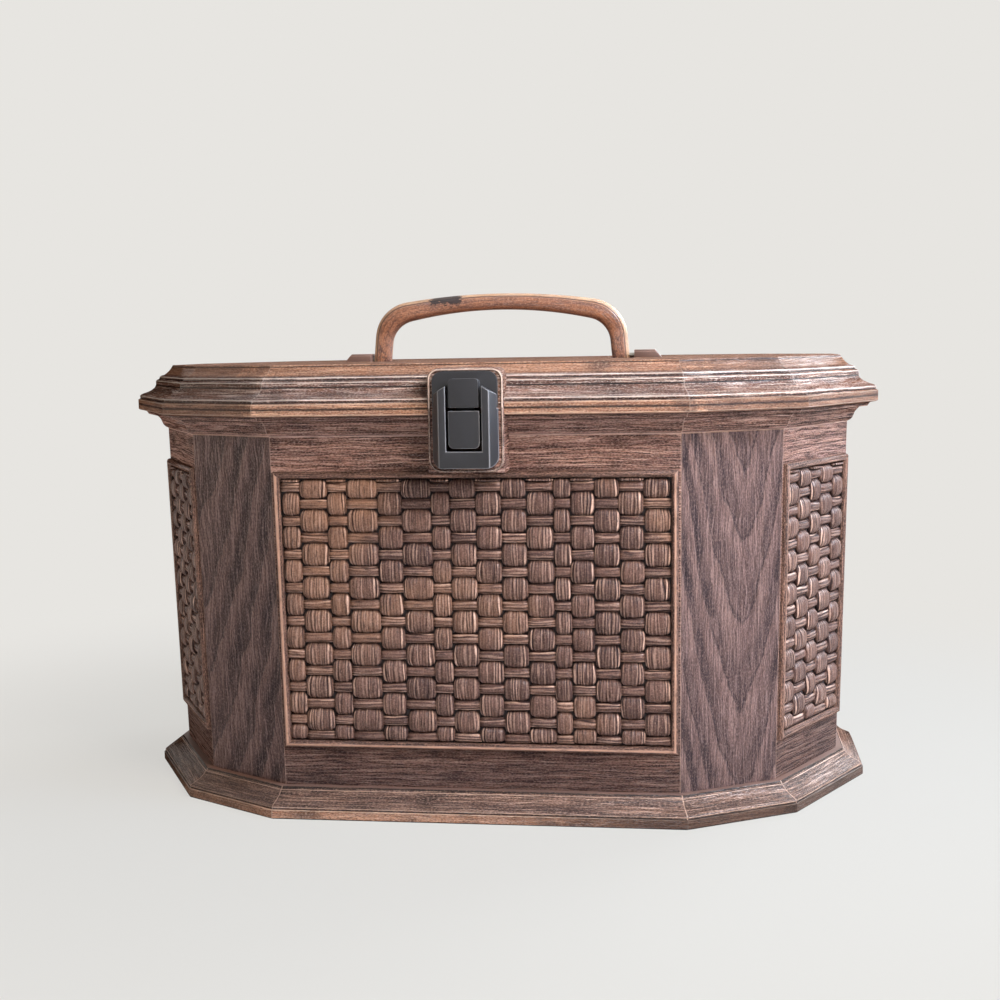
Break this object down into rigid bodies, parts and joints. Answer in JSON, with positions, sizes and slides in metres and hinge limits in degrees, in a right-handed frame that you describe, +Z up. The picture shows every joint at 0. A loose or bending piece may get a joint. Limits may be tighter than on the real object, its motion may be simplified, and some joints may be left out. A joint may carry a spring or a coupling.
{
  "type": "sewing box",
  "caption": "Twelve-sided lidded sewing box with woven panels in wood-grain facets, a swing handle on the hinged lid, a front push latch and a lift-out tray with pegs.",
  "frame": {"origin": "centre of the twelve-sided plan on the plinth's underside", "axes": "+Z up, -Y is the front with the latch, +X to the right as seen from the front"},
  "size_m": [0.3748, 0.2642, 0.2434],
  "materials": {
    "wood_grain_plastic": "moulded wood grain with a dark antique wash, worn copper-brown on the edges, satin",
    "woven_panel_plastic": "moulded basket weave with a dark wash in the gaps, satin",
    "latch_black": "fine textured black, slightly worn on the edges",
    "hinge_steel": "zinc-plated steel",
    "tray_plastic": "plain tan moulded plastic"
  },
  "bodies": {
    "case": {"tub": "wood_grain_plastic", "plinth": "wood_grain_plastic", "woven_plaque_front": "woven_panel_plastic", "woven_plaque_front_right": "woven_panel_plastic", "woven_plaque_back_right": "woven_panel_plastic", "woven_plaque_back": "woven_panel_plastic", "woven_plaque_back_left": "woven_panel_plastic", "woven_plaque_front_left": "woven_panel_plastic", "latch_housing": "latch_black", "housing_screws": "hinge_steel", "latch_spring": "hinge_steel", "hinge_leaf_tub_left": "hinge_steel", "hinge_leaf_tub_right": "hinge_steel", "hinge_pin_left": "hinge_steel", "hinge_pin_right": "hinge_steel", "hinge_screws_tub": "hinge_steel"},
    "lid": {"lid_shell": "wood_grain_plastic", "latch_hasp": "latch_black", "hasp_screws": "hinge_steel", "handle_boss_left": "wood_grain_plastic", "handle_boss_right": "wood_grain_plastic", "handle_pin_left": "hinge_steel", "handle_pin_right": "hinge_steel", "handle_boss_screws": "hinge_steel", "hinge_leaf_lid_left": "hinge_steel", "hinge_leaf_lid_right": "hinge_steel", "hinge_screws_lid": "hinge_steel"},
    "handle": {"handle": "wood_grain_plastic"},
    "latch_button": {"latch_button": "latch_black"},
    "tray": {"tray": "tray_plastic", "spool_pegs": "tray_plastic"}
  },
  "joints": [
    {"name": "lid_hinge", "type": "hinge", "parent": "case", "child": "lid", "pos_m": [0, 0.12865, 0.1897], "axis": [-1, 0, 0], "range_deg": [0, 105]},
    {"name": "handle_swing", "type": "hinge", "parent": "lid", "child": "handle", "pos_m": [0, 0, 0.2104], "axis": [1, 0, 0], "range_deg": [-76, 76]},
    {"name": "latch_press", "type": "slide", "parent": "case", "child": "latch_button", "axis": [0, 1, 0], "range_m": [0, 0.0024], "stiffness_N_per_m": 300, "springref_m": -0.002, "deforming": ["latch_spring"]},
    {"name": "tray_lift", "type": "slide", "parent": "case", "child": "tray", "axis": [0, 0, 1], "range_m": [0, 0.092]}
  ],
  "couplings": [
    {"joint": "tray_lift", "follows": "lid_hinge", "m_per_rad": 0.05}
  ]
}
